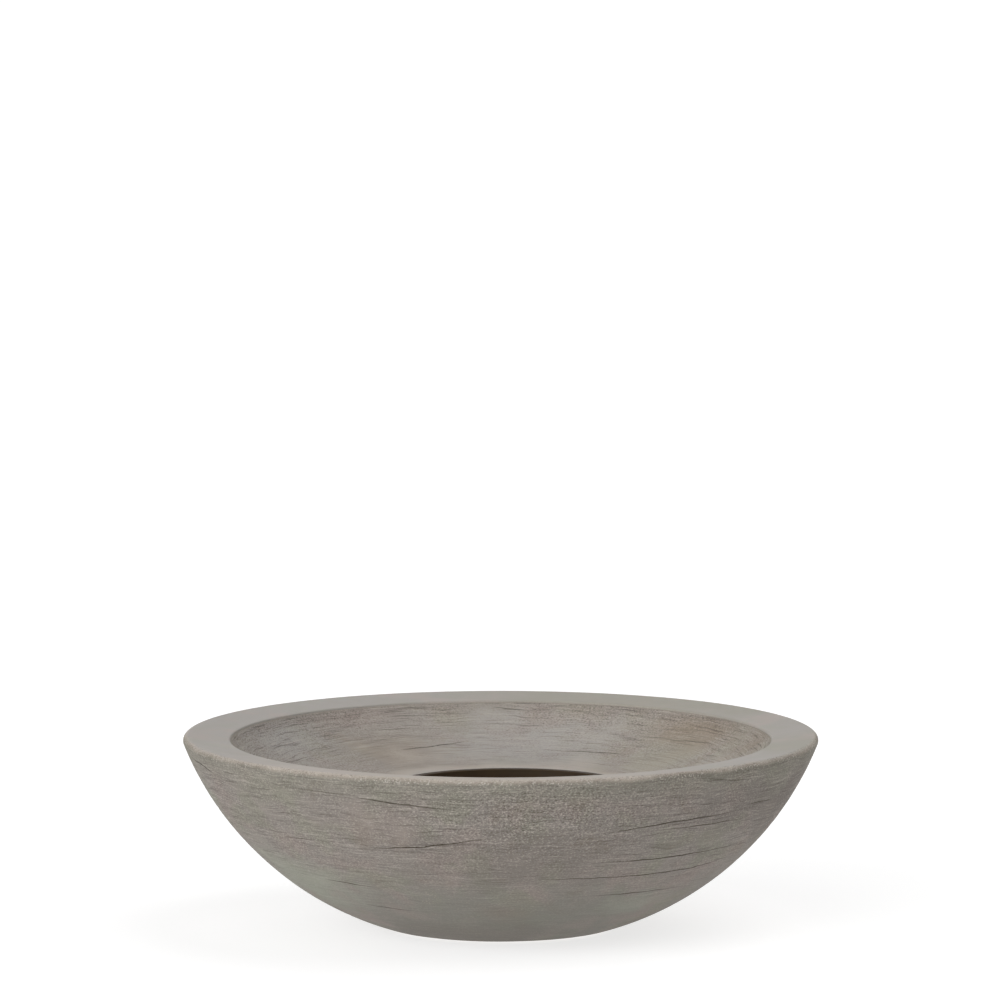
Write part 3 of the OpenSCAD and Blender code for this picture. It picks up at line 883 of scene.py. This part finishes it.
def linerOutline(n):
    seat = n["top"] - n["flangeThick"]
    inside = n["low"] + n["floor"]
    neck, wall = linerRadius(seat), n["wall"]
    return roundedOutline([
        (n["holeRadius"], n["low"], n["holeRound"]), (linerRadius(n["low"]), n["low"], n["heelRound"]),
        (neck, seat, n["neckRound"]), (n["flangeRadius"], seat, n["flangeRound"]),
        (n["flangeRadius"], n["top"], n["topRound"]), (neck - wall, n["top"], n["mouthRound"]),
        (neck - wall, seat, 0), (linerRadius(inside) - wall, inside, n["insideRound"]),
        (n["holeRadius"], inside, n["holeRound"])])


barSteps = [k / 6 - 1 for k in range(13)]  # from -1 to 1, from end to end of a bar


def softBar(name, sections, rounding, material):
    # a bar through square sections, capped at both ends, with its edges rounded
    mesh = bmesh.new()
    rings = [[mesh.verts.new(Vector(p) * mm) for p in section] for section in sections]
    for a, b in zip(rings, rings[1:]):
        for i in range(4):
            mesh.faces.new((a[i], a[(i + 1) % 4], b[(i + 1) % 4], b[i]))
    mesh.faces.new(rings[0][::-1])
    mesh.faces.new(rings[-1])
    bmesh.ops.recalc_face_normals(mesh, faces=mesh.faces)
    sharp = [e for e in mesh.edges if e.calc_face_angle() > math.radians(mouldedSharp)]
    bmesh.ops.bevel(mesh, geom=sharp, offset=rounding * mm, offset_type="OFFSET", segments=3, profile=0.5,
                    affect="EDGES", clamp_overlap=True)
    data = bpy.data.meshes.new(name)
    mesh.to_mesh(data)
    mesh.free()
    data.materials.append(material)
    return addObject(name, data)


def fuse(piece, parts):
    for part in parts:
        union = piece.modifiers.new("fused", "BOOLEAN")
        union.operation = "UNION"
        union.solver = "EXACT"
        union.object = part


def makeGrip(side, n):
    high = n["top"] - n["flangeThick"] - n["gripDrop"]
    low = high - n["gripThick"]
    reach = linerRadius(low) - n["wall"] - n["gripReach"]
    half = math.asin(n["gripWidth"] / 2 / linerRadius(low))
    sections = []
    for step in barSteps:
        a = side + half * step
        corners = [(reach, low), (linerRadius(low) - n["wall"] / 2, low),
                   (linerRadius(high) - n["wall"] / 2, high), (reach, high)]
        sections.append([(n["shift"] + r * math.cos(a), r * math.sin(a), z) for r, z in corners])
    return softBar("grip", sections, n["gripRound"], linerPlastic)


plug = {
    "low": plugLow.z, "top": plugHigh.z, "headRadius": plugHigh.x, "shankRadius": 9.85, "headThick": 4,
    "tipRound": 1.2, "neckRound": 0.4, "underRound": 0.5, "headRound": 1.3, "seat": sleeveHigh.z,
    "ribThick": 5, "ribInset": 2, "ribLow": 1, "ribShare": 0.97, "ribRound": 1.1, "segments": 96,
}


def plugOutline(p):
    head = p["seat"] + p["headThick"]
    return roundedOutline([
        (0, p["low"], 0), (p["shankRadius"], p["low"], p["tipRound"]),
        (p["shankRadius"], p["seat"], p["neckRound"]), (p["headRadius"], p["seat"], p["underRound"]),
        (p["headRadius"], head, p["headRound"]), (0, head, 0)])


def makeRib(p):
    # the pinch rib across the head, rounded in plan by the head's own circle
    reach = p["headRadius"] - p["ribInset"]
    half = p["ribThick"] / 2
    low = p["seat"] + p["ribLow"]
    sections = []
    for step in barSteps:
        x = reach * math.sin(math.pi / 2 * step * p["ribShare"])
        y = min(half, math.sqrt(reach ** 2 - x ** 2))
        sections.append([(x, -y, low), (x, y, low), (x, y, p["top"]), (x, -y, p["top"])])
    return softBar("rib", sections, p["ribRound"], plugRubber)


sleeve = {"bore": 10, "wall": 3, "flangeRadius": sleeveHigh.x, "flangeThick": 2.5,
          "low": sleeveLow.z, "top": sleeveHigh.z, "boreRound": 0.6, "footRound": 0.8,
          "rimRound": 0.7, "segments": 96}


def sleeveOutline(v):
    outer = v["bore"] + v["wall"]
    under = v["top"] - v["flangeThick"]
    return roundedOutline([
        (v["bore"], v["low"], v["boreRound"]), (outer, v["low"], v["footRound"]), (outer, under, 0),
        (v["flangeRadius"], under, 0), (v["flangeRadius"], v["top"], v["rimRound"]),
        (v["bore"], v["top"], v["boreRound"])])


def discard(*objects):
    for piece in objects:
        bpy.data.objects.remove(piece)


mouldedLiner = turned("liner_shell", linerOutline(liner), linerPlastic, liner["segments"])
grips = [makeGrip(side, liner) for side in (0, math.pi)]
mouldedLiner.name = "moulded_liner"
applyTree(mouldedLiner, drill, {
    "Holes": liner["holes"], "Ring radius": (linerRadius(liner["low"]) - liner["inset"]) * mm,
    "Hole radius": liner["holeRadius"] * mm, "Depth": liner["drillDepth"] * mm,
    "Floor": liner["low"] * mm, "Material": linerPlastic})
bake(mouldedLiner)
mouldedLiner.data.transform(Matrix.Translation((liner["shift"] * mm, 0, 0)))
fuse(mouldedLiner, grips)
bake(mouldedLiner)
discard(*grips)

rubberPlug = turned("rubber_plug", plugOutline(plug), plugRubber, plug["segments"])
rib = makeRib(plug)
fuse(rubberPlug, [rib])
bake(rubberPlug)
discard(rib)
floorSleeve = turned("floor_sleeve", sleeveOutline(sleeve), sleevePlastic, sleeve["segments"])
bake(floorSleeve)

joint = {"inner": bowl["radius"] - bowl["rimWidth"] - bowl["ledgeWidth"],
         "outer": bowl["radius"] - bowl["rimWidth"], "low": bondLow.z, "seat": dish["seatTop"],
         "dishRadius": dish["radius"], "dishEdge": dish["edgeTop"], "sink": 0.15, "climb": 0.4,
         "segments": 192}


def jointOutline(j):
    # the bed under the dish's edge, and the gap beside it, struck off in a slope up to the rim
    return roundedOutline([
        (j["inner"], j["low"], 0), (j["outer"], j["low"], 0), (j["outer"], j["dishEdge"] + j["climb"], 0),
        (j["dishRadius"], j["dishEdge"] - j["sink"], 0), (j["dishRadius"], j["seat"], 0),
        (j["inner"], j["seat"], 0)])


struckJoint = turned("struck_joint", jointOutline(joint), jointMortar, joint["segments"])
bake(struckJoint)

pads = []
for i in range(pad["count"]):
    disc = turned("rubber_pad_%d" % (i + 1), roundedOutline([
        (0, 0, 0), (pad["radius"], 0, pad["edge"]), (pad["radius"], pad["height"], pad["edge"]),
        (0, pad["height"], 0)]), padRubber, pad["segments"])
    bake(disc)
    disc.data.transform(Matrix.Rotation(math.radians(360 / pad["count"] * i), 4, "Z")
                        @ Matrix.Translation((pad["ring"] * mm, 0, 0)))
    pads.append(disc)

finished = [
    (castBowl, "bowl", "outer_bowl", "bowl_concrete"), (castDish, "bowl", "inner_dish", "dish_concrete"),
    (mouldedLiner, "liner", "liner_pot", "liner_plastic"),
    (rubberPlug, "plug", "drain_plug", "plug_rubber"),
    (floorSleeve, "bowl", "drain_sleeve", "sleeve_plastic"),
    (struckJoint, "bowl", "dish_bond", "joint_mortar"),
]
finished += [(disc, "bowl", "foot_pad_%d" % (i + 1), "pad_rubber") for i, disc in enumerate(pads)]
for piece, body, node, slot in finished:
    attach(piece, body)
    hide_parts(node)
    print("stage:", piece.name, len(piece.data.polygons), "faces")

# the bowl stands on a pale light table, with four broad soft lamps round it
studio = {
    "floor": "#b9b9b9", "floorSize": 60, "floorDrop": 0.1, "floorRoughness": 0.9, "glow": 0.7,
    "world": "#ffffff", "worldStrength": 0.08,
    "lamps": [  # name, strength, angle that the lamp fills, and the direction that it stands in
        ("lowLeft", 2.3, 60, (-0.69, -0.69, 0.21)), ("highLeft", 0.6, 60, (-0.45, -0.45, 0.77)),
        ("right", 1.2, 60, (0.57, 0, 0.82)), ("lowBack", 1.05, 60, (0, 0.98, 0.21)),
    ],
}


def makeStudio(s):
    half = s["floorSize"] / 2
    mesh = bpy.data.meshes.new("floor")
    low = -s["floorDrop"] * mm  # just clear of the pads' undersides
    mesh.from_pydata([(-half, -half, low), (half, -half, low), (half, half, low), (-half, half, low)],
                     [], [(0, 1, 2, 3)])
    material, add = newMaterial("pale_floor")
    shader = add("ShaderNodeBsdfPrincipled", {
        "Base Color": linear(s["floor"]), "Roughness": s["floorRoughness"], "Specular IOR Level": 0.0,
        "Emission Color": (1, 1, 1, 1), "Emission Strength": s["glow"]})
    add("ShaderNodeOutputMaterial", {"Surface": shader})
    mesh.materials.append(material)
    addObject("floor", mesh)
    world = bpy.data.worlds.new("studio")
    world.use_nodes = True
    background = world.node_tree.nodes["Background"].inputs
    background["Color"].default_value = linear(s["world"])
    background["Strength"].default_value = s["worldStrength"]
    bpy.context.scene.world = world
    for name, strength, angle, direction in s["lamps"]:
        sun = bpy.data.lights.new(name, "SUN")
        sun.energy = strength
        sun.angle = math.radians(angle)
        addObject(name, sun).rotation_euler = Vector(direction).to_track_quat("Z", "Y").to_euler()


makeStudio(studio)
bpy.context.scene.view_settings.view_transform = "Standard"
print("stage: studio set")
